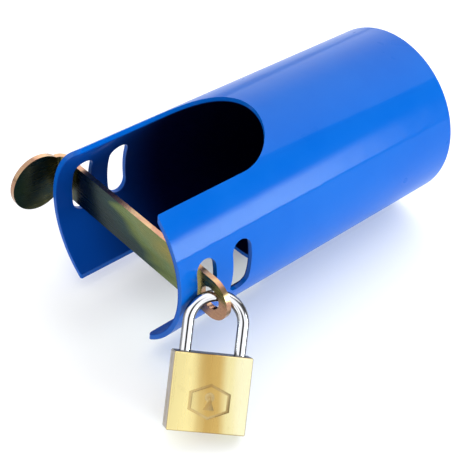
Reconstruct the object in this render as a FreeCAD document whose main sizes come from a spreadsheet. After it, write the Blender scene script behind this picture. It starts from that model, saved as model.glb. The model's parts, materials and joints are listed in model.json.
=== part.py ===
import FreeCAD, Part
import Sketcher
import math
import os

# Trailer coupler lock: a steel tube that slips over a trailer's coupler head, a flat steel
# strip that crosses the tube's mouth through a pair of side slots, and a brass padlock whose
# shackle goes through the eye in the strip's end.
#
# Frame, in millimetres: the origin is on the tube's axis in the plane of its open mouth, +Y runs
# along the axis to the welded end, +X points to the padlock's side and +Z is up. The padlock's own
# pieces are drawn in the padlock's frame: its origin is the middle of the bottom face, its X runs
# along the width towards the shackle's heel leg, its -Y is the front face and its Z is up along
# the shackle.

doc = FreeCAD.newDocument("TrailerCouplerLock")
sheet = doc.addObject("Spreadsheet::Sheet", "Sizes")
SIZE = {}


def cell(alias, value):
    """Write one number into the sheet under a word, and keep it for the code below."""
    row = len(SIZE) + 1
    sheet.set("A%d" % row, alias)
    sheet.set("B%d" % row, repr(round(float(value), 6)))
    sheet.setAlias("B%d" % row, alias)
    SIZE[alias] = float(value)
    return float(value)


# ---- driving dimensions ------------------------------------------------------------------

# Tube: a standard 108 mm steel tube.
tube_radius = cell("tube_radius", 54.0)
tube_wall = cell("tube_wall", 3.0)
tube_length = cell("tube_length", 213.0)
top_slot_width = cell("top_slot_width", 64.0)
top_slot_depth = cell("top_slot_depth", 90.0)
bottom_slot_width = cell("bottom_slot_width", 58.0)
bottom_slot_depth = cell("bottom_slot_depth", 94.0)
bottom_slot_corner = cell("bottom_slot_corner", 18.0)
ear_round_corner = cell("ear_round_corner", 4.0)
ear_tight_corner = cell("ear_tight_corner", 1.2)

# Side slots: two upright slots through both walls.
side_slot_width = cell("side_slot_width", 13.0)
side_slot_height = cell("side_slot_height", 34.0)
side_slot_first = cell("side_slot_first", 17.0)
side_slot_pitch = cell("side_slot_pitch", 24.5)
side_slot_level = cell("side_slot_level", 2.0)

# Welded end: a disc set back from the rim, with a weld bead in the corner.
end_disc_thickness = cell("end_disc_thickness", 4.0)
end_disc_setback = cell("end_disc_setback", 3.0)
weld_gap = cell("weld_gap", 0.05)
weld_leg = cell("weld_leg", 2.6)

# Locking strip.
strip_height = cell("strip_height", 25.0)
strip_thickness = cell("strip_thickness", 3.0)
strip_front = cell("strip_front", 13.0)
strip_level = cell("strip_level", 2.2)
strip_bend_radius = cell("strip_bend_radius", 3.0)
tab_inner_face = cell("tab_inner_face", -64.0)
tab_radius = cell("tab_radius", 17.0)
tab_reach = cell("tab_reach", 14.8)
eye_centre = cell("eye_centre", 60.5)
eye_radius = cell("eye_radius", 6.5)

# Padlock body and shackle.
padlock_width = cell("padlock_width", 40.0)
padlock_height = cell("padlock_height", 39.0)
padlock_depth = cell("padlock_depth", 13.0)
padlock_edge_break = cell("padlock_edge_break", 0.6)
shackle_wire_radius = cell("shackle_wire_radius", 3.0)
shackle_leg_offset = cell("shackle_leg_offset", 14.0)
shackle_straight = cell("shackle_straight", 15.0)
heel_depth = cell("heel_depth", 22.0)
toe_depth = cell("toe_depth", 8.0)
shackle_clearance = cell("shackle_clearance", 0.1)
heel_bore_depth = cell("heel_bore_depth", 31.0)
toe_bore_depth = cell("toe_bore_depth", 11.0)
heel_groove_radius = cell("heel_groove_radius", 2.0)
heel_pin_level = cell("heel_pin_level", 29.0)
heel_pin_radius = cell("heel_pin_radius", 1.0)
shackle_travel = cell("shackle_travel", 9.0)
heel_groove_slack = cell("heel_groove_slack", 0.3)
retaining_pin_recess = cell("retaining_pin_recess", 1.2)
shackle_spring_slack = cell("shackle_spring_slack", 0.4)
shackle_spring_turns = 6

# Lock cylinder.
plug_radius = cell("plug_radius", 5.0)
plug_clearance = cell("plug_clearance", 0.05)
plug_bottom = cell("plug_bottom", 0.4)
plug_top = cell("plug_top", 22.0)
keyway_thickness = cell("keyway_thickness", 2.0)
keyway_low = cell("keyway_low", -2.5)
keyway_high = cell("keyway_high", 4.0)
keyway_depth = cell("keyway_depth", 19.0)
plug_chamber_end = cell("plug_chamber_end", -0.8)
plug_groove_radius = cell("plug_groove_radius", 4.2)
plug_groove_level = cell("plug_groove_level", 20.2)
plug_groove_height = cell("plug_groove_height", 2.2)
plug_pin_radius = cell("plug_pin_radius", 0.9)
plug_bore_run_out = cell("plug_bore_run_out", 0.3)

# Pin stacks, lying along the padlock's width on the toe side.
chamber_count = 4
chamber_first = cell("chamber_first", 4.5)
chamber_pitch = cell("chamber_pitch", 3.9)
chamber_radius = cell("chamber_radius", 1.4)
chamber_pin_radius = cell("chamber_pin_radius", 1.3)
driver_pin_length = cell("driver_pin_length", 3.2)
chamber_plug_radius = cell("chamber_plug_radius", 1.75)
chamber_plug_length = cell("chamber_plug_length", 2.5)
key_pin_shortest = cell("key_pin_shortest", 2.6)
key_pin_step = cell("key_pin_step", 0.35)
key_pin_point = cell("key_pin_point", 0.91)
key_pin_tip_radius = cell("key_pin_tip_radius", 0.39)
shear_gap = cell("shear_gap", 0.02)
end_plug_recess = cell("end_plug_recess", 0.1)
pin_spring_turns = 6
key_cuts = (2, 0, 3, 1)

# Latch, cam and springs.
latch_level = cell("latch_level", 35.0)
latch_radius = cell("latch_radius", 2.0)
latch_clearance = cell("latch_clearance", 0.05)
latch_travel = cell("latch_travel", 2.3)
latch_tip_gap = cell("latch_tip_gap", 0.3)
latch_end = cell("latch_end", 4.0)
latch_bore_end = cell("latch_bore_end", 9.0)
latch_plug_length = cell("latch_plug_length", 2.6)
notch_depth = cell("notch_depth", 2.4)
notch_height = cell("notch_height", 4.6)
cam_radius = cell("cam_radius", 3.4)
cam_chamber_radius = cell("cam_chamber_radius", 3.6)
cam_pin_radius = cell("cam_pin_radius", 1.0)
cam_pin_slack = cell("cam_pin_slack", 0.3)
cam_drum_gap = cell("cam_drum_gap", 0.4)
cam_pin_gap = cell("cam_pin_gap", 0.2)
latch_spring_slack = cell("latch_spring_slack", 0.2)
latch_spring_turns = 5
fit_gap = cell("fit_gap", 0.05)
spring_wire = cell("spring_wire", 0.35)

# Where the padlock hangs: its bottom face's middle, and its turn, lean and roll in degrees.
padlock_x = cell("padlock_x", 93.7)
padlock_y = cell("padlock_y", -16.1)
padlock_z = cell("padlock_z", -47.5)
padlock_yaw = cell("padlock_yaw", 51.2)
padlock_pitch = cell("padlock_pitch", 7.5)
padlock_roll = cell("padlock_roll", -42.1)

# ---- values that follow from them ---------------------------------------------------------

bore_radius = cell("bore_radius", tube_radius - tube_wall)
cut_reach = cell("cut_reach", 2 * tube_radius)
mouth_overrun = cell("mouth_overrun", 10.0)
tool_overrun = cell("tool_overrun", 1.0)
same_place = 0.01
end_disc_radius = cell("end_disc_radius", bore_radius - weld_gap)
eye_end_radius = cell("eye_end_radius", strip_height / 2)
end_disc_outer_face = tube_length - end_disc_setback
shackle_bore_radius = cell("shackle_bore_radius", shackle_wire_radius + shackle_clearance)
plug_bore_radius = cell("plug_bore_radius", plug_radius + plug_clearance)
plug_bore_depth = cell("plug_bore_depth", plug_top + plug_bore_run_out)
cam_top = latch_level - latch_radius - cam_drum_gap
cam_pin_top = latch_level - cam_pin_gap
cam_pin_offset = latch_travel / 2
latch_bore_radius = cell("latch_bore_radius", latch_radius + latch_clearance)
latch_tip = shackle_wire_radius - shackle_leg_offset + latch_tip_gap
heel_bottom = padlock_height - heel_depth
heel_pin_x = shackle_leg_offset + heel_groove_radius + heel_pin_radius + fit_gap
heel_pin_hole = cell("heel_pin_hole", heel_pin_radius + fit_gap)
plug_pin_hole = cell("plug_pin_hole", plug_pin_radius + fit_gap)
plug_pin_x = plug_groove_radius + plug_pin_radius + 3 * fit_gap
chamber_levels = [chamber_first + number * chamber_pitch for number in range(chamber_count)]

padlock_place = FreeCAD.Placement(
    FreeCAD.Vector(padlock_x, padlock_y, padlock_z),
    FreeCAD.Rotation(padlock_yaw, padlock_pitch, padlock_roll),
)
UP = FreeCAD.Vector(0, 0, 1)
PARTS = []


# ---- small helpers ------------------------------------------------------------------------

def bind(feature, **links):
    """Tie each named property of a feature to a cell of the sheet."""
    for name, alias in links.items():
        feature.setExpression(name, "Sizes.%s" % alias)


def add_body(label):
    body = doc.addObject("PartDesign::Body", label)
    body.Label = label
    PARTS.append(body)
    return body


def add_sketch(body, name, plane, offset=0.0):
    """Make a sketch on one of the body's own origin planes, moved along its normal."""
    sketch = body.newObject("Sketcher::SketchObject", name)
    planes = [item for item in body.Origin.OriginFeatures if item.Role == plane]
    sketch.AttachmentSupport = [(planes[0], "")]
    sketch.MapMode = "FlatFace"
    sketch.AttachmentOffset = FreeCAD.Placement(FreeCAD.Vector(0, 0, offset), FreeCAD.Rotation())
    return sketch


def draw_circle(sketch, radius, x=0.0, y=0.0):
    """Draw a circle whose radius is the named cell."""
    centre = FreeCAD.Vector(x, y, 0)
    index = sketch.addGeometry(Part.Circle(centre, UP, SIZE[radius]), False)
    rule = sketch.addConstraint(Sketcher.Constraint("Radius", index, SIZE[radius]))
    sketch.setExpression("Constraints[%d]" % rule, "Sizes.%s" % radius)
    sketch.addConstraint(Sketcher.Constraint("DistanceX", -1, 1, index, 3, x))
    sketch.addConstraint(Sketcher.Constraint("DistanceY", -1, 1, index, 3, y))
    return index


def draw_outline(sketch, pieces):
    """Draw a closed outline from edges that already meet end to end, and join the ends."""
    first = sketch.addGeometry(pieces, False)[0]
    count = len(pieces)
    for step in range(count):
        after = (step + 1) % count
        gaps = []
        for end, here in enumerate((pieces[step].StartPoint, pieces[step].EndPoint)):
            for start, there in enumerate((pieces[after].StartPoint, pieces[after].EndPoint)):
                gaps.append(((here - there).Length, end + 1, start + 1))
        gap, end, start = min(gaps)
        sketch.addConstraint(
            Sketcher.Constraint("Coincident", first + step, end, first + after, start))


def line(start, end):
    return Part.LineSegment(FreeCAD.Vector(start[0], start[1], 0), FreeCAD.Vector(end[0], end[1], 0))


def arc(centre, radius, start_degrees, end_degrees):
    """An arc that runs counter-clockwise from one angle to the other."""
    circle = Part.Circle(FreeCAD.Vector(centre[0], centre[1], 0), UP, radius)
    return Part.ArcOfCircle(circle, math.radians(start_degrees), math.radians(end_degrees))


def pad(body, sketch, name, length, reverse=False, middle=False):
    feature = body.newObject("PartDesign::Pad", name)
    feature.Profile = sketch
    bind(feature, Length=length)
    feature.Reversed = reverse
    feature.Midplane = middle
    return feature


def pocket(body, sketch, name, length, reverse=False, middle=False):
    """Cut a sketch into the body, and make sure that it really removed something."""
    doc.recompute()
    before = body.Shape.Volume
    feature = body.newObject("PartDesign::Pocket", name)
    feature.Profile = sketch
    bind(feature, Length=length)
    feature.Reversed = reverse
    feature.Midplane = middle
    doc.recompute()
    if not body.Shape.Volume < before - 1e-6:
        raise RuntimeError("the pocket %s cuts nothing" % name)
    return feature


def cylinder(name, radius, height, base, axis=(0, 0, 1)):
    """A Part cylinder on a base point; its sizes are names of cells or plain values."""
    shape = doc.addObject("Part::Cylinder", name)
    if isinstance(radius, str):
        bind(shape, Radius=radius)
    else:
        shape.Radius = radius
    if isinstance(height, str):
        bind(shape, Height=height)
    else:
        shape.Height = height
    turn = FreeCAD.Rotation(UP, FreeCAD.Vector(*axis))
    shape.Placement = FreeCAD.Placement(FreeCAD.Vector(*base), turn)
    return shape


def block(name, low, high):
    """A Part box between two corners."""
    shape = doc.addObject("Part::Box", name)
    shape.Length = high[0] - low[0]
    shape.Width = high[1] - low[1]
    shape.Height = high[2] - low[2]
    shape.Placement.Base = FreeCAD.Vector(*low)
    return shape


def cut(name, base, tools):
    """Cut the tools from the base, one boolean for them all."""
    result = doc.addObject("Part::Cut", name)
    result.Base = base
    result.Tool = fuse(name + "_tools", tools)
    return result


def fuse(name, shapes):
    if len(shapes) == 1:
        return shapes[0]
    result = doc.addObject("Part::MultiFuse", name)
    result.Shapes = shapes
    return result


def in_padlock(label, shape):
    """Give a piece of the padlock its label and hang it where the padlock hangs."""
    shape.Label = label
    shape.Placement = padlock_place.multiply(shape.Placement)
    PARTS.append(shape)
    return shape


# ---- tube -----------------------------------------------------------------------------------

def make_tube_shell():
    body = add_body("tube_shell")
    ring = add_sketch(body, "tube_ring", "XZ_Plane")
    draw_circle(ring, "tube_radius")
    draw_circle(ring, "bore_radius")
    pad(body, ring, "tube_wall_pad", "tube_length", reverse=True)

    half = top_slot_width / 2
    turn = top_slot_depth - half
    top = add_sketch(body, "top_slot_outline", "XY_Plane")
    draw_outline(top, [
        line((-half, -mouth_overrun), (half, -mouth_overrun)),
        line((half, -mouth_overrun), (half, turn)),
        arc((0, turn), half, 0, 180),
        line((-half, turn), (-half, -mouth_overrun)),
    ])
    pocket(body, top, "top_slot", "cut_reach", reverse=True)

    half = bottom_slot_width / 2
    turn = bottom_slot_depth - bottom_slot_corner
    inner = half - bottom_slot_corner
    bottom = add_sketch(body, "bottom_slot_outline", "XY_Plane")
    draw_outline(bottom, [
        line((-half, -mouth_overrun), (half, -mouth_overrun)),
        line((half, -mouth_overrun), (half, turn)),
        arc((inner, turn), bottom_slot_corner, 0, 90),
        line((inner, bottom_slot_depth), (-inner, bottom_slot_depth)),
        arc((-inner, turn), bottom_slot_corner, 90, 180),
        line((-half, turn), (-half, -mouth_overrun)),
    ])
    pocket(body, bottom, "bottom_slot", "cut_reach")

    radius = side_slot_width / 2
    rise = side_slot_height / 2 - radius
    sides = add_sketch(body, "side_slot_outlines", "YZ_Plane")
    for number in range(2):
        middle = side_slot_first + number * side_slot_pitch
        high = side_slot_level + rise
        low = side_slot_level - rise
        draw_outline(sides, [
            line((middle + radius, low), (middle + radius, high)),
            arc((middle, high), radius, 0, 180),
            line((middle - radius, high), (middle - radius, low)),
            arc((middle, low), radius, 180, 360),
        ])
    slots = pocket(body, sides, "side_slots", "cut_reach", middle=True)

    # Top left and bottom right are rounded well; the other two corners are nearly square.
    rounded = round_ear_corners(body, slots, "ear_round_corner", "ear_round_corners", False)
    round_ear_corners(body, rounded, "ear_tight_corner", "ear_tight_corners", True)


def round_ear_corners(body, base, radius, name, level_side):
    """Round the mouth's corners where x and z have the same sign, or the opposite one."""
    doc.recompute()
    corners = []
    for number, edge in enumerate(base.Shape.Edges):
        box = edge.BoundBox
        upright = box.XLength < same_place and box.YLength < same_place
        at_mouth = abs(box.YMin) < same_place
        if upright and at_mouth and (box.XMin * box.ZMin > 0) == level_side:
            corners.append("Edge%d" % (number + 1))
    rounding = body.newObject("PartDesign::Fillet", name)
    rounding.Base = (base, corners)
    bind(rounding, Radius=radius)
    return rounding


def make_end_disc():
    body = add_body("end_disc")
    outline = add_sketch(body, "end_disc_outline", "XZ_Plane")
    draw_circle(outline, "end_disc_radius")
    pad(body, outline, "end_disc_pad", "end_disc_thickness", reverse=True)
    body.setExpression("Placement.Base.y", "Sizes.tube_length - Sizes.end_disc_setback"
                                           " - Sizes.end_disc_thickness")


def make_end_weld():
    """The bead that joins the disc to the tube: a hollow-faced corner ring."""
    body = add_body("end_weld")
    section = add_sketch(body, "weld_section", "XY_Plane")
    outer = bore_radius - weld_gap
    low = end_disc_outer_face + weld_gap
    inner = outer - weld_leg
    draw_outline(section, [
        line((inner, low), (outer, low)),
        line((outer, low), (outer, low + weld_leg)),
        line((outer, low + weld_leg), (inner, low)),
    ])
    bead = body.newObject("PartDesign::Revolution", "weld_ring")
    bead.Profile = section
    bead.ReferenceAxis = (section, ["V_Axis"])
    bead.Angle = 360


# ---- locking strip --------------------------------------------------------------------------

def make_locking_strip():
    """The bar, drawn with its front face on y = 0: a bent tab at one end, an eye at the other."""
    body = add_body("locking_strip")
    back = strip_thickness
    inner = tab_inner_face
    outer = inner - strip_thickness
    bend = strip_bend_radius
    wide_bend = bend + strip_thickness
    profile = add_sketch(body, "bar_profile", "XY_Plane")
    draw_outline(profile, [
        line((eye_centre, 0), (eye_centre, back)),
        line((eye_centre, back), (inner + bend, back)),
        arc((inner + bend, -bend), wide_bend, 90, 180),
        line((outer, -bend), (outer, -tab_reach)),
        line((outer, -tab_reach), (inner, -tab_reach)),
        line((inner, -tab_reach), (inner, -bend)),
        arc((inner + bend, -bend), bend, 90, 180),
        line((inner + bend, 0), (eye_centre, 0)),
    ])
    pad(body, profile, "bar", "strip_height", middle=True)

    end = add_sketch(body, "eye_end_outline", "XZ_Plane")
    draw_circle(end, "eye_end_radius", eye_centre, 0)
    pad(body, end, "eye_end", "strip_thickness", reverse=True)

    disc = add_sketch(body, "tab_outline", "YZ_Plane", offset=outer)
    draw_circle(disc, "tab_radius", -tab_reach, 0)
    pad(body, disc, "tab", "strip_thickness")

    eye = add_sketch(body, "eye_outline", "XZ_Plane", offset=strip_thickness)
    draw_circle(eye, "eye_radius", eye_centre, 0)
    pocket(body, eye, "eye", "cut_reach", middle=True)
    body.setExpression("Placement.Base.y", "Sizes.strip_front")
    body.setExpression("Placement.Base.z", "Sizes.strip_level")


# ---- padlock body and shackle ---------------------------------------------------------------

def make_padlock_body():
    half_width = padlock_width / 2
    half_depth = padlock_depth / 2
    solid = block("padlock_block", (-half_width, -half_depth, 0),
                  (half_width, half_depth, padlock_height))
    bind(solid, Length="padlock_width", Width="padlock_depth", Height="padlock_height")
    doc.recompute()
    edges = []
    for number in range(len(solid.Shape.Edges)):
        edges.append((number + 1, padlock_edge_break, padlock_edge_break))
    eased = doc.addObject("Part::Chamfer", "padlock_eased_block")
    eased.Base = solid
    eased.Edges = edges

    spare = tool_overrun
    top = padlock_height
    tools = [
        cylinder("heel_bore", "shackle_bore_radius", "heel_bore_depth + Sizes.tool_overrun",
                 (shackle_leg_offset, 0, top - heel_bore_depth)),
        cylinder("toe_bore", "shackle_bore_radius", "toe_bore_depth + Sizes.tool_overrun",
                 (-shackle_leg_offset, 0, top - toe_bore_depth)),
        cylinder("plug_bore", "plug_bore_radius", "plug_bore_depth + Sizes.tool_overrun",
                 (0, 0, -spare)),
        cylinder("cam_chamber", "cam_chamber_radius", "latch_level - Sizes.plug_top",
                 (0, 0, plug_top)),
        cylinder("latch_bore", "latch_bore_radius", latch_bore_end + half_width + spare,
                 (-half_width - spare, 0, latch_level), (1, 0, 0)),
        cylinder("heel_pin_bore", "heel_pin_hole", "padlock_depth",
                 (heel_pin_x, -half_depth + spare, heel_pin_level), (0, 1, 0)),
        cylinder("plug_pin_bore", "plug_pin_hole", "padlock_depth",
                 (plug_pin_x, -half_depth + spare, plug_groove_level), (0, 1, 0)),
    ]
    for number, level in enumerate(chamber_levels):
        tools.append(cylinder("chamber_%d" % (number + 1), "chamber_radius", half_width,
                              (-half_width, 0, level), (1, 0, 0)))
        tools.append(cylinder("chamber_mouth_%d" % (number + 1), chamber_plug_radius + fit_gap,
                              chamber_plug_length + spare + 3 * fit_gap,
                              (-half_width - spare, 0, level), (1, 0, 0)))
    in_padlock("padlock_body", cut("padlock_body_cut", eased, tools))


def make_shackle():
    """Two legs and a half-round bow; a ring groove in the heel and a latch notch in the toe."""
    top = padlock_height + shackle_straight
    radius = "shackle_wire_radius"
    heel = cylinder("heel_leg", radius, top - heel_bottom, (shackle_leg_offset, 0, heel_bottom))
    toe_bottom = padlock_height - toe_depth
    toe = cylinder("toe_leg", radius, top - toe_bottom, (-shackle_leg_offset, 0, toe_bottom))
    bow = doc.addObject("Part::Torus", "bow")
    bind(bow, Radius1="shackle_leg_offset", Radius2=radius)
    bow.Angle3 = 180
    bow.Placement = FreeCAD.Placement(FreeCAD.Vector(0, 0, top),
                                      FreeCAD.Rotation(FreeCAD.Vector(1, 0, 0), 90))
    blank = fuse("shackle_blank", [heel, toe, bow])

    groove_low = heel_pin_level - heel_pin_radius - shackle_travel - heel_groove_slack
    groove_height = shackle_travel + 2 * heel_pin_radius + 2 * heel_groove_slack
    ring = cut("heel_groove",
               cylinder("groove_outer", shackle_wire_radius + tool_overrun, groove_height,
                        (shackle_leg_offset, 0, groove_low)),
               [cylinder("groove_inner", "heel_groove_radius", groove_height,
                         (shackle_leg_offset, 0, groove_low))])
    flat = -shackle_leg_offset + shackle_wire_radius - notch_depth
    notch = block("toe_notch",
                  (flat, -2 * shackle_wire_radius, latch_level - notch_height / 2),
                  (0, 2 * shackle_wire_radius, latch_level + notch_height / 2))
    in_padlock("shackle", cut("shackle_cut", blank, [ring, notch]))


def make_padlock_pins():
    half_depth = padlock_depth / 2
    length = padlock_depth - retaining_pin_recess
    in_padlock("shackle_retaining_pin", cylinder(
        "heel_pin", "heel_pin_radius", length,
        (heel_pin_x, half_depth - length, heel_pin_level), (0, 1, 0)))
    in_padlock("plug_retaining_pin", cylinder(
        "plug_pin", "plug_pin_radius", length,
        (plug_pin_x, half_depth - length, plug_groove_level), (0, 1, 0)))


def make_spring(label, radius, start, end, axis, turns):
    """A round-wire compression spring along an axis, swept on a helix."""
    room = (FreeCAD.Vector(*end) - FreeCAD.Vector(*start)).Length
    length = room - 2 * spring_wire - fit_gap
    helix = Part.makeHelix(length / turns, length, radius)
    wire_end = Part.Circle(FreeCAD.Vector(radius, 0, 0), FreeCAD.Vector(0, 1, 0), spring_wire)
    profile = Part.Wire([wire_end.toShape()])
    coil = Part.Wire(helix.Edges).makePipeShell([profile], True, True)
    feature = doc.addObject("Part::Feature", label + "_coil")
    feature.Shape = coil
    turn = FreeCAD.Rotation(UP, FreeCAD.Vector(*axis))
    lift = turn.multVec(FreeCAD.Vector(0, 0, spring_wire))
    feature.Placement = FreeCAD.Placement(FreeCAD.Vector(*start) + lift, turn)
    in_padlock(label, feature)


# ---- lock cylinder --------------------------------------------------------------------------

def make_key_plug():
    plug = cylinder("plug_blank", "plug_radius", plug_top - plug_bottom, (0, 0, plug_bottom))
    spare = tool_overrun
    groove_low = plug_groove_level - plug_groove_height / 2
    ring = cut("plug_groove",
               cylinder("plug_groove_outer", plug_radius + spare, "plug_groove_height",
                        (0, 0, groove_low)),
               [cylinder("plug_groove_inner", "plug_groove_radius", "plug_groove_height",
                         (0, 0, groove_low))])
    keyway = block("keyway", (keyway_low, -keyway_thickness / 2, plug_bottom - spare),
                   (keyway_high, keyway_thickness / 2, keyway_depth))
    tools = [ring, keyway]
    for number, level in enumerate(chamber_levels):
        tools.append(cylinder("plug_chamber_%d" % (number + 1), "chamber_radius",
                              plug_radius + plug_chamber_end + spare,
                              (-plug_radius - spare, 0, level), (1, 0, 0)))
    in_padlock("key_plug", cut("key_plug_cut", plug, tools))


def make_plug_cam():
    """The drum on the plug's inner end, with the off-centre pin that moves the latch."""
    low = plug_top + fit_gap
    drum = cylinder("cam_drum", "cam_radius", cam_top - low, (0, 0, low))
    pin = cylinder("cam_pin", "cam_pin_radius", cam_pin_top - low,
                   (cam_pin_offset, cam_pin_offset, low))
    in_padlock("plug_cam", fuse("plug_cam_fuse", [drum, pin]))


def make_pin_stacks():
    """In each chamber: a pointed key pin, a flat driver pin, a spring and a press-in plug."""
    half_width = padlock_width / 2
    shear = math.sqrt(plug_radius ** 2 - chamber_pin_radius ** 2) - shear_gap
    driver_start = plug_bore_radius + fit_gap
    spring_start = driver_start + driver_pin_length + fit_gap
    spring_end = half_width - chamber_plug_length - fit_gap
    point = key_pin_point
    for number, level in enumerate(chamber_levels):
        name = str(number + 1)
        length = key_pin_shortest + key_cuts[number] * key_pin_step
        shank = cylinder("key_pin_shank_" + name, "chamber_pin_radius", length - point,
                         (-shear, 0, level), (1, 0, 0))
        tip = doc.addObject("Part::Cone", "key_pin_tip_" + name)
        bind(tip, Radius1="chamber_pin_radius", Radius2="key_pin_tip_radius",
             Height="key_pin_point")
        tip.Placement = FreeCAD.Placement(
            FreeCAD.Vector(-shear + length - point, 0, level),
            FreeCAD.Rotation(UP, FreeCAD.Vector(1, 0, 0)))
        in_padlock("key_pin_" + name, fuse("key_pin_fuse_" + name, [shank, tip]))
        in_padlock("driver_pin_" + name, cylinder(
            "driver_pin_blank_" + name, "chamber_pin_radius", "driver_pin_length",
            (-driver_start, 0, level), (-1, 0, 0)))
        make_spring("pin_spring_" + name, chamber_pin_radius - spring_wire,
                    (-spring_start, 0, level), (-spring_end, 0, level), (-1, 0, 0),
                    pin_spring_turns)
        in_padlock("chamber_plug_" + name, cylinder(
            "chamber_plug_blank_" + name, "chamber_plug_radius", "chamber_plug_length",
            (-half_width + end_plug_recess, 0, level), (1, 0, 0)))


# ---- latch ----------------------------------------------------------------------------------

def make_latch():
    """The spring bolt, drawn back by the cam pin in its cross slot."""
    half_width = padlock_width / 2
    bolt = cylinder("latch_blank", "latch_radius", latch_end - latch_tip,
                    (latch_tip, 0, latch_level), (1, 0, 0))
    half_slot = cam_pin_radius + cam_pin_slack
    slot = block("cam_pin_slot",
                 (cam_pin_offset - half_slot, -2 * latch_radius, latch_level - 2 * latch_radius),
                 (cam_pin_offset + half_slot, 2 * latch_radius, latch_level))
    in_padlock("latch_bolt", cut("latch_bolt_cut", bolt, [slot]))
    make_spring("latch_spring", latch_radius - spring_wire - latch_spring_slack,
                (latch_end + fit_gap, 0, latch_level),
                (latch_bore_end - fit_gap, 0, latch_level), (1, 0, 0), latch_spring_turns)
    in_padlock("latch_bore_plug", cylinder(
        "latch_bore_plug_blank", "latch_radius",
        "latch_plug_length - 2 * Sizes.end_plug_recess",
        (-half_width + end_plug_recess, 0, latch_level), (1, 0, 0)))


def make_shackle_spring():
    low = padlock_height - heel_bore_depth + fit_gap
    make_spring("shackle_spring", shackle_wire_radius - spring_wire - shackle_spring_slack,
                (shackle_leg_offset, 0, low),
                (shackle_leg_offset, 0, heel_bottom - fit_gap), (0, 0, 1), shackle_spring_turns)


# ---- build, test and write ------------------------------------------------------------------

def check_and_write():
    doc.recompute()
    for item in doc.Objects:
        if "Invalid" in item.State or "Error" in item.State:
            raise RuntimeError("%s failed: %s" % (item.Label, item.State))
    os.makedirs("parts", exist_ok=True)
    for item in PARTS:
        shape = item.Shape
        if shape.isNull() or not shape.isValid() or len(shape.Solids) != 1:
            raise RuntimeError("%s has no single valid solid" % item.Label)
        shape.exportStep("parts/%s.step" % item.Label)
        print("%-24s %10.1f mm3" % (item.Label, shape.Volume))


make_tube_shell()
make_end_disc()
make_end_weld()
make_locking_strip()
make_padlock_body()
make_shackle()
make_shackle_spring()
make_padlock_pins()
make_latch()
make_key_plug()
make_plug_cam()
make_pin_stacks()
check_and_write()
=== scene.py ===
"""Looks for the trailer coupler lock: a painted tube, a plated strip and a brass padlock.

Everything is in metres in the part's own frame. The origin is on the tube's axis in the plane
of its open mouth, +Y runs to the welded end, +X is the padlock's side and +Z is up.
"""
import json
import math

import bmesh
import bpy
from mathutils import Matrix, Vector

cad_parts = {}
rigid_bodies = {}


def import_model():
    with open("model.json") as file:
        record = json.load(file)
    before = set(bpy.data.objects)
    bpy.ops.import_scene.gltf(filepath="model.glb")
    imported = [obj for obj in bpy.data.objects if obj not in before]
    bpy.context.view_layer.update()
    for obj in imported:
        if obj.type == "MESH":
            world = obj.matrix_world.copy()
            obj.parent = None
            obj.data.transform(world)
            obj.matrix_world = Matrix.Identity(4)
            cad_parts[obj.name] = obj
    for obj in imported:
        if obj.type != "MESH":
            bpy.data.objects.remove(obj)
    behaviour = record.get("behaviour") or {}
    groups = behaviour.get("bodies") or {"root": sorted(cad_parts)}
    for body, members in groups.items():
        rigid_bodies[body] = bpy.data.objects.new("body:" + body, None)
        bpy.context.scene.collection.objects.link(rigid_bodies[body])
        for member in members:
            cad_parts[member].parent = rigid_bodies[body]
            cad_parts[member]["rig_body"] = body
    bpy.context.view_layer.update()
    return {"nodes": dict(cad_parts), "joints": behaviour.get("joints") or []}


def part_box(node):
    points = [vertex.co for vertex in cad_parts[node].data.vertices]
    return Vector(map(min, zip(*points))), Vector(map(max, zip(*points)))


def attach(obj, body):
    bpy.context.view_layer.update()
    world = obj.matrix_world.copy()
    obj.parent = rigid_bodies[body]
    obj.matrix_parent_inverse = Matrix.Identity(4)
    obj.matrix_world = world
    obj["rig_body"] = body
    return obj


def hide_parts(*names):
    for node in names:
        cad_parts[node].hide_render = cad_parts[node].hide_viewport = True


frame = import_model()
cad_nodes = frame["nodes"]
joints = {joint["name"]: joint for joint in frame["joints"]}

# ---- driving sizes --------------------------------------------------------------------------

mm = 0.001
weld_gap = 0.002 * mm              # corners closer than this are one corner
flat_angle = math.radians(0.2)     # facets closer than this lie in one plane
sharp_angle = math.radians(35)     # edges sharper than this are broken or stay crisp

tube_edge_break = 0.6 * mm         # how far the sharp edges are rounded
strip_edge_break = 0.45 * mm
case_edge_break = 0.3 * mm
edge_steps = 3

tube_low, tube_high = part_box("tube_shell")
tube_radius = (tube_high.x - tube_low.x) / 2
tube_length = tube_high.y - tube_low.y
disc_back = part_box("end_disc")[1].y
weld_low, weld_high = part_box("end_weld")
bore_radius = weld_high.x
strip_low, strip_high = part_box("locking_strip")
strip_thickness = 3.0 * mm
strip_front = strip_high.y - strip_thickness
bend_room = 7.0 * mm               # the bend's share of the strip's left end
floor_level = tube_low.z

# ---- the padlock's own directions -----------------------------------------------------------

lock_up = Vector(joints["key_turn"]["axis"]).normalized()
lock_across = -Vector(joints["latch_slide"]["axis"]).normalized()
lock_back = lock_up.cross(lock_across).normalized()


def reach(node, axis):
    """The lowest and highest place of a CAD node along an axis."""
    places = [corner.co.dot(axis) for corner in cad_nodes[node].data.vertices]
    return min(places), max(places)


case_left, case_right = reach("padlock_body", lock_across)
case_front, case_rear = reach("padlock_body", lock_back)
case_bottom, case_top = reach("padlock_body", lock_up)
case_width = case_right - case_left
case_depth = case_rear - case_front
case_height = case_top - case_bottom

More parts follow.
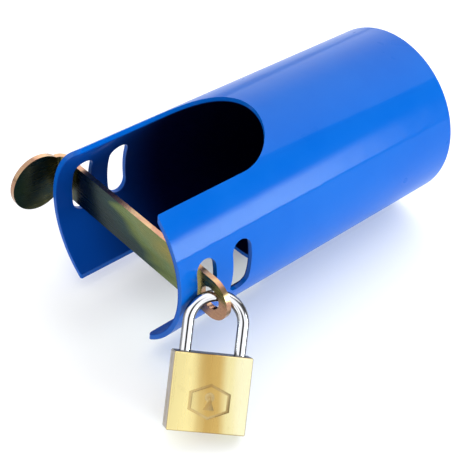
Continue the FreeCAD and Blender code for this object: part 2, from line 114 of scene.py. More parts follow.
lock_spot = (lock_across * (case_left + case_right) / 2
             + lock_back * (case_front + case_rear) / 2
             + lock_up * case_bottom)
lock_place = Matrix((
    (lock_across.x, lock_back.x, lock_up.x, lock_spot.x),
    (lock_across.y, lock_back.y, lock_up.y, lock_spot.y),
    (lock_across.z, lock_back.z, lock_up.z, lock_spot.z),
    (0, 0, 0, 1),
))
lock_home = lock_place.inverted()


def in_lock(node):
    """A CAD node's corners, told in the padlock's own directions from its bottom middle."""
    return [lock_home @ corner.co for corner in cad_nodes[node].data.vertices]


# ---- node trees -----------------------------------------------------------------------------

def add(tree, kind, inputs=None, **settings):
    """Adds a node; an input is either another node's output or a plain value."""
    made = tree.nodes.new(kind)
    for name, value in settings.items():
        setattr(made, name, value)
    for socket, value in (inputs or {}).items():
        if isinstance(value, bpy.types.NodeSocket):
            tree.links.new(value, made.inputs[socket])
        else:
            made.inputs[socket].default_value = value
    return made


def start_material(name, shader):
    """A new material, its tree and its shader, with what is the same all over set on sockets."""
    material = bpy.data.materials.new(name)
    material.use_nodes = True
    tree = material.node_tree
    shade = tree.nodes["Principled BSDF"]
    for socket, value in shader.items():
        shade.inputs[socket].default_value = value
    return material, tree, shade


def place_on(tree, scale=(1, 1, 1), place=None):
    """Points of the piece itself, in metres, stretched by scale, or told in another place."""
    point = add(tree, "ShaderNodeTexCoord").outputs["Object"]
    if place is not None:
        point = add(tree, "ShaderNodeMapping", {
            "Vector": point,
            "Location": place.to_translation(),
            "Rotation": place.to_euler(),
        }, vector_type="TEXTURE").outputs[0]
    if tuple(scale) == (1, 1, 1):
        return point
    return add(tree, "ShaderNodeMapping", {"Vector": point, "Scale": scale}).outputs[0]


def speckle(tree, point, scale, detail=2.0, roughness=0.5, distortion=0.0):
    """Cloudy noise from 0 to 1."""
    return add(tree, "ShaderNodeTexNoise", {
        "Vector": point, "Scale": scale, "Detail": detail,
        "Roughness": roughness, "Distortion": distortion,
    }).outputs[0]


def between(tree, value, low, high, to_low=0.0, to_high=1.0, smooth=True):
    """Carries a value from one range into another, and holds it at the ends."""
    return add(tree, "ShaderNodeMapRange", {
        "Value": value, "From Min": low, "From Max": high,
        "To Min": to_low, "To Max": to_high,
    }, interpolation_type="SMOOTHSTEP" if smooth else "LINEAR").outputs[0]


def maths(tree, operation, first, second=0.0):
    return add(tree, "ShaderNodeMath", {0: first, 1: second}, operation=operation).outputs[0]


def blend_colour(tree, share, first, second, blend="MIX"):
    """The first colour, going over to the second as share goes from 0 to 1."""
    return add(tree, "ShaderNodeMix", {0: share, 6: first, 7: second},
               data_type="RGBA", blend_type=blend).outputs[2]


def relief(tree, height, distance, under=None):
    """A fine relief in the surface; the height is 0 to 1 of the distance, in metres."""
    inputs = {"Height": height, "Distance": distance, "Strength": 1.0}
    if under is not None:
        inputs["Normal"] = under
    return add(tree, "ShaderNodeBump", inputs).outputs[0]


def split(tree, point):
    return add(tree, "ShaderNodeSeparateXYZ", {0: point}).outputs


def wear_and_highlight_of(tree):
    """1 on a broken edge and 0 on the faces beside it."""
    return add(tree, "ShaderNodeAttribute", attribute_name="edge_wear_and_highlight").outputs["Fac"]


# ---- finishes -------------------------------------------------------------------------------

enamel_colour = (0.0, 0.085, 0.42, 1)
# a lighter blue for thin paint, also used as a painted highlight on broken edges
thin_enamel_and_highlight_colour = (0.02, 0.20, 0.64, 1)
# painted shade: the inside of the tube is painted a darker blue, near-black deeper in
painted_shade_inside_colour = (0.0, 0.050, 0.30, 1)
painted_shade_deep_colour = (0.0, 0.0004, 0.020, 1)
painted_shade_depth = 75 * mm          # how far into the tube the painted shade deepens to near-black
enamel_coat = 0.20                 # gloss of the outside
inside_coat = 0.04              # and of the inside
peel_height = 0.004 * mm           # orange peel
wave_height = 0.13 * mm            # the sheet's own long waves


def blue_enamel(name, lumps=0.0):
    """Gloss enamel, thin on broken edges, where it is also painted lighter as a painted
    highlight; inside the tube it is duller, and its blue is painted darker and near-black deeper
    in as painted shade.
    """
    material, tree, shade = start_material(name, {
        "IOR": 1.4, "Specular IOR Level": 0.05,
        "Coat Roughness": 0.035, "Coat IOR": 1.5,
    })
    point = place_on(tree)
    x, y, z = split(tree, point)
    radius = maths(tree, "SQRT", maths(tree, "ADD", maths(tree, "MULTIPLY", x, x),
                                       maths(tree, "MULTIPLY", z, z)))
    inside = between(tree, radius, bore_radius + 0.9 * mm, bore_radius + 0.2 * mm)
    inside = maths(tree, "MULTIPLY", inside,
                   between(tree, y, disc_back - 1.0 * mm, disc_back - 2.0 * mm))
    depth = between(tree, y, 6 * mm, painted_shade_depth)
    clouds = speckle(tree, point, 28, 3)
    outer = blend_colour(tree, between(tree, clouds, 0.3, 0.7, 0.0, 0.08),
                         enamel_colour, thin_enamel_and_highlight_colour)
    # broken edges painted lighter: partly thinner paint, partly a painted highlight where the
    # rounded edges catch the light
    outer = blend_colour(tree, maths(tree, "MULTIPLY", wear_and_highlight_of(tree), 0.8),
                         outer, thin_enamel_and_highlight_colour)
    # painted shade: darker inside the tube, near-black deeper in
    inner = blend_colour(tree, depth, painted_shade_inside_colour, painted_shade_deep_colour)
    tree.links.new(blend_colour(tree, inside, outer, inner), shade.inputs["Base Color"])
    gloss = between(tree, clouds, 0.2, 0.8, 0.26, 0.34)
    rough = maths(tree, "ADD", gloss, maths(tree, "MULTIPLY", inside, 0.35))
    tree.links.new(rough, shade.inputs["Roughness"])
    coat = between(tree, inside, 0.0, 1.0, enamel_coat, inside_coat)
    tree.links.new(coat, shade.inputs["Coat Weight"])
    peel = speckle(tree, point, 420, 1.5)
    waves = speckle(tree, point, 60, 2.0)
    surface = relief(tree, peel, peel_height)
    surface = relief(tree, waves, wave_height + lumps, under=surface)
    tree.links.new(surface, shade.inputs["Coat Normal"])
    tree.links.new(surface, shade.inputs["Normal"])
    return material


film_bands = (                     # the film's colours from the tab's end to the eye's
    (0.40, (0.002, 0.017, 0.020, 1)),
    (0.53, (0.003, 0.030, 0.032, 1)),
    (0.60, (0.110, 0.150, 0.040, 1)),
    (0.68, (0.150, 0.200, 0.090, 1)),
    (0.80, (0.270, 0.230, 0.070, 1)),
)
fold_gold = (0.28, 0.24, 0.07, 1)
# partly the film's own colour, partly a painted reflection of the shaded floor
copper_film_and_painted_shade = (0.44, 0.22, 0.13, 1)


def yellow_chromate():
    """Zinc plate under a yellow chromate film, which turns teal, olive, gold and copper."""
    material, tree, shade = start_material("yellow_chromate", {
        "Metallic": 1.0, "Coat Weight": 0.05, "Coat Roughness": 0.16,
    })
    point = place_on(tree)
    x, y, z = split(tree, point)
    along = between(tree, x, -bore_radius, bore_radius, smooth=False)
    upward = between(tree, z, strip_low.z, strip_high.z, smooth=False)
    patches = speckle(tree, place_on(tree, (22, 60, 60)), 1.0, 2, 0.5, 0.5)
    veil = speckle(tree, point, 110, 3, 0.6, 0.6)
    drift = maths(tree, "ADD", maths(tree, "MULTIPLY", along, 0.50),
                  maths(tree, "MULTIPLY", upward, 0.20))
    drift = maths(tree, "ADD", drift, maths(tree, "MULTIPLY", patches, 0.42))
    film = add(tree, "ShaderNodeValToRGB", {0: drift})
    bands = film.color_ramp
    bands.elements[0].position = 0.20
    bands.elements[0].color = (0.006, 0.020, 0.007, 1)
    bands.elements[1].position = 0.95
    bands.elements[1].color = (0.46, 0.33, 0.12, 1)
    for position, colour in film_bands:
        bands.elements.new(position).color = colour
    tint = blend_colour(tree, veil, (0.62, 0.80, 0.72, 1), (1.0, 0.86, 0.62, 1))
    colour = blend_colour(tree, 1.0, film.outputs[0], tint, "MULTIPLY")
    rosy = blend_colour(tree, between(tree, veil, 0.3, 0.7), (0.38, 0.18, 0.13, 1),
                        (0.48, 0.32, 0.18, 1))
    golden = maths(tree, "MULTIPLY", between(tree, y, -16 * mm, 4 * mm),
                   between(tree, patches, 0.35, 0.65, 0.35, 0.9))
    fold = maths(tree, "MULTIPLY", golden,
                 between(tree, x, -bore_radius, -bore_radius - 8 * mm))
    colour = blend_colour(tree, maths(tree, "MULTIPLY", fold, 0.75), colour, fold_gold)
    # the eye's lower part is painted copper: partly the film's own colour, partly a painted
    # reflection of the shaded floor
    eye = maths(tree, "MULTIPLY", between(tree, x, tube_radius, tube_radius + 4 * mm),
                between(tree, z, 9 * mm, 3 * mm))
    colour = blend_colour(tree, maths(tree, "MULTIPLY", eye, 0.9), colour, copper_film_and_painted_shade)
    sheared = add(tree, "ShaderNodeAttribute", attribute_name="sheared").outputs["Fac"]
    edge = maths(tree, "MAXIMUM", maths(tree, "MULTIPLY", sheared, 0.85),
                 maths(tree, "MULTIPLY", wear_and_highlight_of(tree), 0.7))
    colour = blend_colour(tree, edge, colour, rosy)
    tree.links.new(colour, shade.inputs["Base Color"])
    rolled = speckle(tree, place_on(tree, (40, 40, 700)), 1.0, 2)
    rough = between(tree, rolled, 0.2, 0.8, 0.24, 0.30)
    tree.links.new(rough, shade.inputs["Roughness"])
    surface = relief(tree, rolled, 0.002 * mm)
    surface = relief(tree, speckle(tree, point, 60, 2), 0.06 * mm, under=surface)
    tree.links.new(surface, shade.inputs["Normal"])
    return material


crown_radius = 13 * case_width      # the front and back are a little crowned
side_begins = case_width / 2 - 0.35 * mm
side_full = case_width / 2 - 0.1 * mm
ends_begin = case_height - 0.35 * mm
ends_full = case_height - 0.1 * mm
painted_brass_sweep = (                    # the room's light and shade across the crowned face
    (0.47, (0.50, 0.32, 0.095, 1)),
    (0.60, (0.52, 0.34, 0.105, 1)),
    (0.74, (0.68, 0.59, 0.30, 1)),
)


def brushed_brass():
    """A brass case: crowned faces brushed up and down under a painted sweep of light and shade,
    and duller sawn sides, top and bottom, the top and bottom partly painted dark as shade.
    """
    material, tree, shade = start_material("brushed_brass", {"Metallic": 1.0})
    point = place_on(tree, place=lock_place)
    x, y, z = split(tree, point)
    side = between(tree, maths(tree, "ABSOLUTE", x), side_begins, side_full)
    ends = between(tree, z, ends_begin, ends_full)
    strokes = speckle(tree, add(tree, "ShaderNodeMapping", {
        "Vector": point, "Scale": (3200, 3200, 40)}).outputs[0], 1.0, 3, 0.6)
    broad = speckle(tree, add(tree, "ShaderNodeMapping", {
        "Vector": point, "Scale": (240, 240, 24)}).outputs[0], 1.0, 2)
    tarnish = speckle(tree, point, 130, 4, 0.6)
    # painted reflection: a light, dark and light sweep across the face, leaning with height,
    # painted into the colour
    across = between(tree, x, -case_width / 2, case_width / 2, smooth=False)
    lean = maths(tree, "MULTIPLY", maths(tree, "SUBTRACT", z, case_height / 2), 1.6)
    across = maths(tree, "ADD", across, lean)
    across = maths(tree, "ADD", across, between(tree, broad, 0.2, 0.8, -0.02, 0.02))
    sweep = add(tree, "ShaderNodeValToRGB", {0: across})
    bands = sweep.color_ramp
    bands.interpolation = "EASE"
    bands.elements[0].position = 0.20
    bands.elements[0].color = (0.94, 0.79, 0.36, 1)
    bands.elements[1].position = 0.90
    bands.elements[1].color = (0.71, 0.65, 0.42, 1)
    for position, colour in painted_brass_sweep:
        bands.elements.new(position).color = colour
    spots = between(tree, tarnish, 0.60, 0.80, 0.0, 0.20)
    face = -case_depth / 2
    sunk = maths(tree, "MULTIPLY", between(tree, y, face + 0.1 * mm, face + 0.3 * mm, 0.0, 0.8),
                 maths(tree, "LESS_THAN", y, 0.0))
    brass = blend_colour(tree, maths(tree, "MAXIMUM", spots, sunk), sweep.outputs[0],
                         (0.34, 0.21, 0.07, 1))
    sawn = blend_colour(tree, broad, (0.31, 0.27, 0.23, 1), (0.45, 0.40, 0.35, 1))
    # the top and bottom: dark grey, darkened further as painted shade for the dark surroundings
    # they reflect
    grey_ends_and_painted_shade = blend_colour(tree, broad, (0.07, 0.065, 0.055, 1), (0.13, 0.12, 0.10, 1))
    colour = blend_colour(tree, maths(tree, "MULTIPLY", side, 0.95), brass, sawn)
    colour = blend_colour(tree, ends, colour, grey_ends_and_painted_shade)
    colour = blend_colour(tree, maths(tree, "MULTIPLY", wear_and_highlight_of(tree), 0.5), colour,
                          (0.62, 0.50, 0.26, 1))
    tree.links.new(colour, shade.inputs["Base Color"])
    dull = maths(tree, "MAXIMUM", side, ends)
    rough = between(tree, strokes, 0.25, 0.75, 0.26, 0.34)
    tree.links.new(maths(tree, "ADD", rough, maths(tree, "MULTIPLY", dull, 0.12)),
                   shade.inputs["Roughness"])
    crown = maths(tree, "MULTIPLY", maths(tree, "MULTIPLY", x, x), -0.5 / crown_radius)
    surface = relief(tree, crown, 1.0)
    surface = relief(tree, strokes, 0.0015 * mm, under=surface)
    tree.links.new(surface, shade.inputs["Normal"])
    return material


def bright_chrome():
    """Chrome plate over polished wire, with the faint lines left by the polishing and a painted
    dark reflection toward its rims.
    """
    material, tree, shade = start_material("bright_chrome", {"Metallic": 1.0})
    point = place_on(tree, place=lock_place)
    wipes = speckle(tree, add(tree, "ShaderNodeMapping", {
        "Vector": point, "Scale": (900, 900, 60)}).outputs[0], 1.0, 2)
    haze = speckle(tree, point, 160, 2)
    colour = blend_colour(tree, haze, (0.66, 0.66, 0.68, 1), (0.78, 0.78, 0.80, 1))
    # painted reflection: the wire is painted dark toward its rims, for the dark surroundings
    # chrome reflects there
    painted_dark_rims = add(tree, "ShaderNodeLayerWeight", {"Blend": 0.5}).outputs["Facing"]
    colour = blend_colour(tree, between(tree, painted_dark_rims, 0.14, 0.46, 0.0, 0.92), colour,
                          (0.07, 0.07, 0.08, 1))
    tree.links.new(colour, shade.inputs["Base Color"])
    tree.links.new(between(tree, haze, 0.2, 0.8, 0.04, 0.09), shade.inputs["Roughness"])
    tree.links.new(relief(tree, wipes, 0.003 * mm), shade.inputs["Normal"])
    return material


def worked_metal(name, light, dark, grain, low, high):
    """A small machined or drawn metal part, with its tool lines and a little stain."""
    material, tree, shade = start_material(name, {"Metallic": 1.0})
    point = place_on(tree, place=lock_place)
    lines = speckle(tree, add(tree, "ShaderNodeMapping", {
        "Vector": point, "Scale": (grain, grain, 5 * grain)}).outputs[0], 1.0, 2)
    stain = speckle(tree, point, 230, 3)
    tree.links.new(blend_colour(tree, stain, light, dark), shade.inputs["Base Color"])
    tree.links.new(between(tree, lines, 0.2, 0.8, low, high), shade.inputs["Roughness"])
    tree.links.new(relief(tree, lines, 0.006 * mm), shade.inputs["Normal"])
    return material


def pale_floor():
    """A matt white sweep."""
    material, tree, shade = start_material("pale_floor", {
        "Roughness": 0.9, "IOR": 1.2,
        "Emission Color": (1.0, 1.0, 1.0, 1), "Emission Strength": 0.14,
    })
    clouds = speckle(tree, place_on(tree), 3, 2)
    colour = blend_colour(tree, clouds, (0.81, 0.81, 0.81, 1), (0.83, 0.83, 0.83, 1))
    tree.links.new(colour, shade.inputs["Base Color"])
    return material


weld_lumps = 0.3 * mm
finishes = {
    "blue_paint": blue_enamel("blue_enamel"),
    "weld_paint": blue_enamel("enamel_on_weld", weld_lumps),
    "yellow_zinc": yellow_chromate(),
    "brass_body": brushed_brass(),
    "chrome_shackle": bright_chrome(),
    "brass_plug": worked_metal("turned_brass", (0.80, 0.60, 0.27, 1), (0.62, 0.43, 0.17, 1),
                               900, 0.22, 0.36),
    "brass_pin": worked_metal("pin_brass", (0.84, 0.63, 0.28, 1), (0.66, 0.46, 0.18, 1),
                              1400, 0.18, 0.32),
    "spring_steel": worked_metal("spring_wire", (0.55, 0.56, 0.58, 1), (0.38, 0.38, 0.39, 1),
                                 1200, 0.24, 0.40),
    "hard_steel": worked_metal("ground_steel", (0.62, 0.62, 0.63, 1), (0.46, 0.46, 0.46, 1),
                               1000, 0.20, 0.34),
}

# ---- pieces ---------------------------------------------------------------------------------

def show(mesh, name):
    piece = bpy.data.objects.new(name, mesh)
    bpy.context.scene.collection.objects.link(piece)
    return piece


def to_mesh(work, name, slot):
    """Turns a finished bmesh into a smooth mesh with its finish on it."""
    mesh = bpy.data.meshes.new(name)
    work.to_mesh(mesh)
    work.free()
    mesh.polygons.foreach_set("use_smooth", [True] * len(mesh.polygons))
    mesh.materials.append(finishes[slot])
    return mesh


def put_on(piece, node):
    """The piece moves with the CAD node's body and is shown in its place."""
    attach(piece, cad_nodes[node]["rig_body"])
    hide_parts(node)
    return piece


def merged_copy(node):
    """A copy of a CAD node with its corners joined and its flat faces whole."""
    work = bmesh.new()
    work.from_mesh(cad_nodes[node].data)
    bmesh.ops.remove_doubles(work, verts=work.verts[:], dist=weld_gap)
    bmesh.ops.dissolve_limit(work, angle_limit=flat_angle, use_dissolve_boundaries=False,
                             verts=work.verts[:], edges=work.edges[:])
    return work


def break_edges(work, width):
    """Rounds every sharp edge, and returns the faces that the rounding made."""
    sharp = [edge for edge in work.edges
             if edge.is_manifold and edge.calc_face_angle() > sharp_angle]
    made = bmesh.ops.bevel(work, geom=sharp, offset=width, offset_type="OFFSET",
                           segments=edge_steps, profile=0.5, affect="EDGES",
                           material=-1, clamp_overlap=True)
    work.normal_update()
    return set(made["faces"])


def along_tube(normal, spot):
    """The true direction of a rolled wall at this spot, or None away from such a wall."""
    radial = Vector((spot.x, 0, spot.z)).normalized()
    facing = normal.dot(radial)
    if abs(facing) < 0.995:
        return None
    return radial if facing > 0 else -radial


def true_normals(work, rounded, rolled=False):
    """A direction for each corner that keeps the wide faces flat right up to their edges."""
    directions = []
    for corner in work.verts:
        wide = [face for face in corner.link_faces if face not in rounded]
        total = Vector()
        for face in wide or corner.link_faces:
            total += face.normal * face.calc_area()
        normal = total.normalized()
        if wide and rolled:
            normal = along_tube(normal, corner.co) or normal
        directions.append(normal)
    return directions


def edge_wear_and_highlight(work, rounded):
    """1 for a corner in the middle of a broken edge and 0 elsewhere."""
    return [1.0 if all(face in rounded for face in corner.link_faces) else 0.0
            for corner in work.verts]


def sheared_faces(work, rounded):
    """1 for a corner of the strip's cut edges and 0 for one of its rolled faces."""
    shares = []
    for corner in work.verts:
        wide = [face for face in corner.link_faces if face not in rounded]
        on_tab = corner.co.y < strip_front - strip_thickness
        on_bend = corner.co.x < strip_low.x + bend_room and not on_tab
        cut = 0.0
        for face in wide:
            facing = abs(face.normal.x if on_tab else face.normal.y)
            if abs(face.normal.z) > 0.5 or (facing < 0.5 and not on_bend):
                cut = 1.0
        shares.append(cut)
    return shares


def eased_piece(node, name, slot, width, rolled=False, sheared=False):
    """A CAD node's own shape with its edges broken, as a new piece."""
    work = merged_copy(node)
    rounded = break_edges(work, width)
    directions = true_normals(work, rounded, rolled)
    worn = edge_wear_and_highlight(work, rounded)
    cuts = sheared_faces(work, rounded) if sheared else []
    mesh = to_mesh(work, name, slot)
    mesh.attributes.new("edge_wear_and_highlight", "FLOAT", "POINT").data.foreach_set("value", worn)
    if sheared:
        mesh.attributes.new("sheared", "FLOAT", "POINT").data.foreach_set("value", cuts)
    mesh.normals_split_custom_set_from_vertices(directions)
    return put_on(show(mesh, name), node)


def take_away(piece, tools):
    """Cuts the tools out of the piece for good."""
    for tool in tools:
        carving = piece.modifiers.new("cut", "BOOLEAN")
        carving.operation = "DIFFERENCE"
        carving.solver = "EXACT"
        carving.object = tool
    graph = bpy.context.evaluated_depsgraph_get()
    carved = bpy.data.meshes.new_from_object(piece.evaluated_get(graph))
    piece.modifiers.clear()
    piece.data = carved
    for tool in tools:
        bpy.data.objects.remove(tool)


# ---- the padlock's case ---------------------------------------------------------------------

mark_level = 15.5 * mm             # the sign's middle above the case's bottom
mark_radius = 9.0 * mm
mark_stretch = 1.35                # the six-sided outline is wider than it is high
mark_line = 1.5 * mm
mark_depth = 0.45 * mm
keyhole_head = 3.1 * mm
keyhole_rise = 2.2 * mm
foot_radius = 5.0 * mm
foot_drop = 2.0 * mm
foot_share = 0.75                  # the keyhole's foot is narrower than an even triangle


def on_front(work, name):
    """Stands a flat shape drawn at the origin upright in the case's front face."""
    turn = Matrix.Rotation(math.radians(90), 4, "X")
    lift = Matrix.Translation((0, -case_depth / 2, mark_level))
    bmesh.ops.transform(work, matrix=lock_place @ lift @ turn, verts=work.verts[:])
    bmesh.ops.recalc_face_normals(work, faces=work.faces[:])
    mesh = bpy.data.meshes.new(name)
    work.to_mesh(mesh)
    work.free()
    return show(mesh, name)


def deepen(work, outside):
    """Gives a flat outline a body, half in and half out of the face; a small one narrows."""
    bmesh.ops.translate(work, vec=(0, 0, mark_depth), verts=work.verts[:])
    pushed = bmesh.ops.extrude_face_region(work, geom=work.faces[:])
    below = [part for part in pushed["geom"] if isinstance(part, bmesh.types.BMVert)]
    bmesh.ops.translate(work, vec=(0, 0, -2 * mark_depth), verts=below)
    if outside < mark_radius:
        narrower = 1 - 2 * mark_depth / outside
        middle = sum((corner.co for corner in below), Vector()) / len(below)
        bmesh.ops.scale(work, vec=(narrower, narrower, 1), verts=below,
                        space=Matrix.Translation(-middle))


def six_sided_line():
    """The outline stamped round the keyhole sign."""
    work = bmesh.new()
    bmesh.ops.create_circle(work, segments=6, radius=mark_radius)
    bmesh.ops.create_circle(work, segments=6, radius=mark_radius - mark_line)
    bmesh.ops.bridge_loops(work, edges=work.edges[:])
    bmesh.ops.scale(work, vec=(mark_stretch, 1, 1), verts=work.verts[:])
    deepen(work, mark_radius)
    return on_front(work, "outline_tool")


def keyhole_sign():
    """A plain keyhole: a round head over a widening foot."""
    head = bmesh.new()
    bmesh.ops.create_circle(head, segments=32, radius=keyhole_head, cap_ends=True)
    bmesh.ops.translate(head, vec=(0, keyhole_rise, 0), verts=head.verts[:])
    deepen(head, keyhole_head)
    foot = bmesh.new()
    bmesh.ops.create_circle(foot, segments=3, radius=foot_radius, cap_ends=True)
    bmesh.ops.scale(foot, vec=(foot_share, 1, 1), verts=foot.verts[:])
    bmesh.ops.translate(foot, vec=(0, -foot_drop, 0), verts=foot.verts[:])
    deepen(foot, foot_radius)
    return [on_front(head, "head_tool"), on_front(foot, "foot_tool")]


def padlock_case():
    """The brass case with its edges broken and a plain sign stamped in its front."""
    work = merged_copy("padlock_body")
    rounded = break_edges(work, case_edge_break)
    worn = edge_wear_and_highlight(work, rounded)
    mesh = to_mesh(work, "padlock_case", "brass_body")
    mesh.attributes.new("edge_wear_and_highlight", "FLOAT", "POINT").data.foreach_set("value", worn)
    piece = show(mesh, "padlock_case")
    take_away(piece, [six_sided_line(), *keyhole_sign()])
    piece.data.set_sharp_from_angle(angle=sharp_angle)
    flatten = piece.modifiers.new("wide faces stay flat", "WEIGHTED_NORMAL")
    flatten.keep_sharp = True
    flatten.weight = 100
    return put_on(piece, "padlock_body")


# ---- the shackle ----------------------------------------------------------------------------

wire_sides = 48
bow_steps = 64
end_chamfer = 0.5 * mm

shackle_points = in_lock("shackle")
wire_radius = max(point.y for point in shackle_points)
leg_offset = max(point.x for point in shackle_points) - wire_radius
bow_level = max(point.z for point in shackle_points) - leg_offset - wire_radius
heel_end = min(point.z for point in shackle_points)
toe_points = [point for point in shackle_points if point.x < 0]
toe_end = min(point.z for point in toe_points)
heel_axis = Vector((leg_offset, 0))
heel_neck = [point for point in shackle_points
             if (point.xy - heel_axis).length < 0.8 * wire_radius and point.z < bow_level]
neck_low = min(point.z for point in heel_neck)
neck_high = max(point.z for point in heel_neck)
neck_radius = min((point.xy - heel_axis).length for point in heel_neck)
notch_points = [point for point in toe_points if toe_end + mm < point.z < bow_level - mm]
notch_low = min(point.z for point in notch_points)
notch_high = max(point.z for point in notch_points)
notch_face = min(point.x for point in notch_points)


def push_ring(work, edges, rise, widen=1.0):
    """Carries a ring of wire on along its leg, and changes its width; returns the new ring."""
    made = bmesh.ops.extrude_edge_only(work, edges=edges)["geom"]
    corners = [part for part in made if isinstance(part, bmesh.types.BMVert)]
    bmesh.ops.translate(work, vec=(0, 0, rise), verts=corners)
    middle = sum((corner.co for corner in corners), Vector()) / len(corners)
    bmesh.ops.scale(work, vec=(widen, widen, 1), verts=corners,
                    space=Matrix.Translation(-middle))
    return [part for part in made if isinstance(part, bmesh.types.BMEdge)]


def bend_over(work, edges):
    """Turns the ring over the half-round bow, from the toe leg to the heel leg."""
    corners = list({corner for edge in edges for corner in edge.verts})
    made = bmesh.ops.spin(work, geom=edges + corners, cent=(0, 0, bow_level),
                          axis=(0, 1, 0), dvec=(0, 0, 0), angle=math.pi,
                          steps=bow_steps, use_duplicate=False)
    return [part for part in made["geom_last"] if isinstance(part, bmesh.types.BMEdge)]


def latch_notch():
    """The block that is sawn out of the toe leg for the latch."""
    work = bmesh.new()
    bmesh.ops.create_cube(work, size=1)
    size = Vector((leg_offset, 4 * wire_radius, notch_high - notch_low))
    bmesh.ops.scale(work, vec=size, verts=work.verts[:])
    middle = Vector((notch_face + size.x / 2, 0, (notch_low + notch_high) / 2))
    bmesh.ops.translate(work, vec=middle, verts=work.verts[:])
    bmesh.ops.transform(work, matrix=lock_place, verts=work.verts[:])
    mesh = bpy.data.meshes.new("notch_tool")
    work.to_mesh(mesh)
    work.free()
    return show(mesh, "notch_tool")


def chrome_bow():
    """One wire: up the toe leg, over the bow and down the heel leg with its narrow neck."""
    tip = 1 - end_chamfer / wire_radius
    work = bmesh.new()
    bmesh.ops.create_circle(work, segments=wire_sides, radius=wire_radius * tip,
                            cap_ends=True)
    bmesh.ops.translate(work, vec=(-leg_offset, 0, toe_end), verts=work.verts[:])
    ring = push_ring(work, work.edges[:], end_chamfer, 1 / tip)
    ring = push_ring(work, ring, bow_level - toe_end - end_chamfer)
    ring = bend_over(work, ring)
    ring = push_ring(work, ring, neck_high - bow_level)
    ring = push_ring(work, ring, 0, neck_radius / wire_radius)
    ring = push_ring(work, ring, neck_low - neck_high)
    ring = push_ring(work, ring, 0, wire_radius / neck_radius)
    ring = push_ring(work, ring, heel_end + end_chamfer - neck_low)
    ring = push_ring(work, ring, -end_chamfer, tip)
    bmesh.ops.edgeloop_fill(work, edges=ring)
    bmesh.ops.remove_doubles(work, verts=work.verts[:], dist=weld_gap)
    bmesh.ops.recalc_face_normals(work, faces=work.faces[:])
    bmesh.ops.transform(work, matrix=lock_place, verts=work.verts[:])
    piece = show(to_mesh(work, "chrome_bow", "chrome_shackle"), "chrome_bow")
    take_away(piece, [latch_notch()])
    piece.data.set_sharp_from_angle(angle=sharp_angle)
    return put_on(piece, "shackle")


# ---- the weld bead --------------------------------------------------------------------------

bead_steps = 360
bead_ripples = 90
ripple_depth = 0.16                # as a share of the bead
ripple_lean = 1.3                  # each ripple trails round the bead by this angle
bead_arc_steps = 8


def weld_bead():
    """A fillet of weld round the end disc, with the ripple that each dab leaves."""
    corner_radius = weld_high.x
    leg = weld_high.y - weld_low.y
    foot = Vector((corner_radius, weld_low.y, 0))
    work = bmesh.new()
    first = work.verts.new(foot - Vector((leg, 0, 0)))
    arc = bmesh.ops.spin(work, geom=[first], cent=foot, axis=(0, 0, -1), dvec=(0, 0, 0),
                         angle=math.pi / 2, steps=bead_arc_steps, use_duplicate=False)
    middle = work.verts.new(foot)
    last = [part for part in arc["geom_last"] if isinstance(part, bmesh.types.BMVert)][0]
    work.edges.new((last, middle))
    work.edges.new((middle, first))
    bmesh.ops.spin(work, geom=work.verts[:] + work.edges[:], cent=(0, 0, 0), axis=(0, 1, 0),
                   dvec=(0, 0, 0), angle=2 * math.pi, steps=bead_steps,
                   use_merge=True, use_duplicate=False)
    bmesh.ops.remove_doubles(work, verts=work.verts[:], dist=weld_gap)
    bmesh.ops.recalc_face_normals(work, faces=work.faces[:])
    for corner in work.verts:
        turn = math.atan2(corner.co.x, corner.co.z)
        root = Vector((math.sin(turn), 0, math.cos(turn))) * corner_radius
        root.y = weld_low.y
        from_root = corner.co - root
        lean = from_root.y / leg
        wave = 0.5 + 0.5 * math.cos(bead_ripples * turn + ripple_lean * lean)
        corner.co = root + from_root * (1 - ripple_depth * wave)
    piece = show(to_mesh(work, "weld_bead", "weld_paint"), "weld_bead")
    return put_on(piece, "end_weld")


eased_piece("tube_shell", "painted_tube", "blue_paint", tube_edge_break, rolled=True)
eased_piece("locking_strip", "plated_strip", "yellow_zinc", strip_edge_break, sheared=True)
padlock_case()
chrome_bow()
weld_bead()

for name, node in cad_nodes.items():
    if not node.hide_render:
        slot = node.data.materials[0].name.split(".")[0]
        ground_flush = name.startswith("chamber_plug") or name == "latch_bore_plug"
        node.data.materials[0] = finishes["brass_body" if ground_flush else slot]

# ---- floor, light and camera ----------------------------------------------------------------

floor_radius = 4.0
world_strength = 1.45
room_light = 0.08
box_light = 11.0
stand_inside = math.radians(14)    # the dark camera stand, as the chrome sees it
stand_outside = math.radians(20)
key_spot = Vector((-0.55, 1.45, 1.15))
key_size = 3.0
key_power = 41.0


camera_azimuth = math.radians(42.75)
camera_elevation = math.radians(41.05)
camera_roll = math.radians(6.82)
camera_distance = 622.1 * mm
camera_aim = Vector((0, 0.461 * tube_length, 0))
aim_right = 8.65 * mm
aim_up = 32.88 * mm
camera_lens = 83.18


def camera_way():
    """The direction in which the camera looks."""
    level = math.cos(camera_elevation)
    return Vector((-math.sin(camera_azimuth) * level, math.cos(camera_azimuth) * level,
                   -math.sin(camera_elevation)))


def lay_floor():
    work = bmesh.new()
    bmesh.ops.create_circle(work, segments=64, radius=floor_radius, cap_ends=True)
    bmesh.ops.translate(work, vec=(0, 0, floor_level), verts=work.verts[:])
    mesh = bpy.data.meshes.new("floor")
    work.to_mesh(mesh)
    work.free()
    mesh.materials.append(pale_floor())
    show(mesh, "floor")


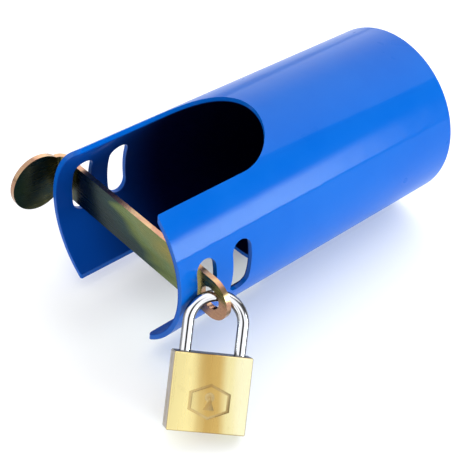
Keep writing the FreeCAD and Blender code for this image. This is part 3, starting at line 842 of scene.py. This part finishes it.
def light_room():
    """A pale room, bright in front and on the left, with a low wall of light on the right."""
    world = bpy.data.worlds.new("studio")
    bpy.context.scene.world = world
    world.use_nodes = True
    tree = world.node_tree
    way = add(tree, "ShaderNodeTexCoord").outputs["Generated"]
    x, y, z = split(tree, way)
    front = between(tree, y, 0.40, 0.05, 0.0, 0.90)
    ceiling = between(tree, z, 0.62, 0.85, 0.0, 0.35)
    left = between(tree, x, -0.35, -0.75, 0.0, 0.55)
    box_end = between(tree, y, 0.72, 0.58)
    box_low = between(tree, z, 0.02, 0.04)
    box_high = between(tree, z, 0.42, 0.26)
    right = between(tree, x, 0.3, 0.5)
    box_near = between(tree, y, -0.10, 0.20)
    box = maths(tree, "MULTIPLY", maths(tree, "MULTIPLY", box_end, right),
                maths(tree, "MULTIPLY", box_low, box_high))
    box = maths(tree, "MULTIPLY", box, box_near)
    wide = maths(tree, "MAXIMUM", maths(tree, "MAXIMUM", ceiling, left), front)
    light = maths(tree, "ADD", maths(tree, "ADD", wide, room_light),
                  maths(tree, "MULTIPLY", box, box_light))
    towards = add(tree, "ShaderNodeVectorMath", {0: way, 1: -camera_way()},
                  operation="DOT_PRODUCT").outputs["Value"]
    stand = between(tree, towards, math.cos(stand_outside), math.cos(stand_inside), 1.0, 0.03)
    skirting = between(tree, maths(tree, "ABSOLUTE", z), 0.03, 0.10, 0.15, 1.0)
    low_front = between(tree, y, 0.0, -0.3)
    skirting = maths(tree, "MAXIMUM", skirting, maths(tree, "SUBTRACT", 1.0, low_front))
    light = maths(tree, "MULTIPLY", maths(tree, "MULTIPLY", light, stand), skirting)
    seen = add(tree, "ShaderNodeLightPath").outputs["Is Camera Ray"]
    light = maths(tree, "ADD", maths(tree, "MULTIPLY", light, maths(tree, "SUBTRACT", 1.0, seen)),
                  seen)
    back = tree.nodes["Background"]
    tree.links.new(blend_colour(tree, box, (0.97, 0.98, 1.0, 1), (0.80, 1.0, 0.98, 1)),
                   back.inputs["Color"])
    tree.links.new(maths(tree, "MULTIPLY", light, world_strength), back.inputs["Strength"])


def hang_key():
    """The large soft lamp, high beyond the welded end and a little to the left."""
    lamp = bpy.data.lights.new("key", "AREA")
    lamp.shape = "DISK"
    lamp.size = key_size
    lamp.energy = key_power
    lamp.color = (1.0, 0.99, 0.97)
    key = bpy.data.objects.new("key", lamp)
    key.location = key_spot
    key.rotation_euler = (-key_spot).to_track_quat("-Z", "Y").to_euler()
    bpy.context.scene.collection.objects.link(key)


def set_camera():
    """Looks in at the mouth from the padlock's side and from above, a little rolled."""
    ahead = camera_way()
    right = Vector((math.cos(camera_azimuth), math.sin(camera_azimuth), 0))
    up = right.cross(ahead)
    side = right * math.cos(camera_roll) + up * math.sin(camera_roll)
    top = up * math.cos(camera_roll) - right * math.sin(camera_roll)
    spot = camera_aim - side * aim_right - top * aim_up - ahead * camera_distance
    lens = bpy.data.cameras.new("camera")
    lens.lens = camera_lens
    lens.clip_start = 0.01
    camera = bpy.data.objects.new("camera", lens)
    camera.matrix_world = Matrix((
        (side.x, top.x, -ahead.x, spot.x),
        (side.y, top.y, -ahead.y, spot.y),
        (side.z, top.z, -ahead.z, spot.z),
        (0, 0, 0, 1),
    ))
    bpy.context.scene.collection.objects.link(camera)
    bpy.context.scene.camera = camera


lay_floor()
light_room()
hang_key()
set_camera()
bpy.context.scene.view_settings.view_transform = "Standard"
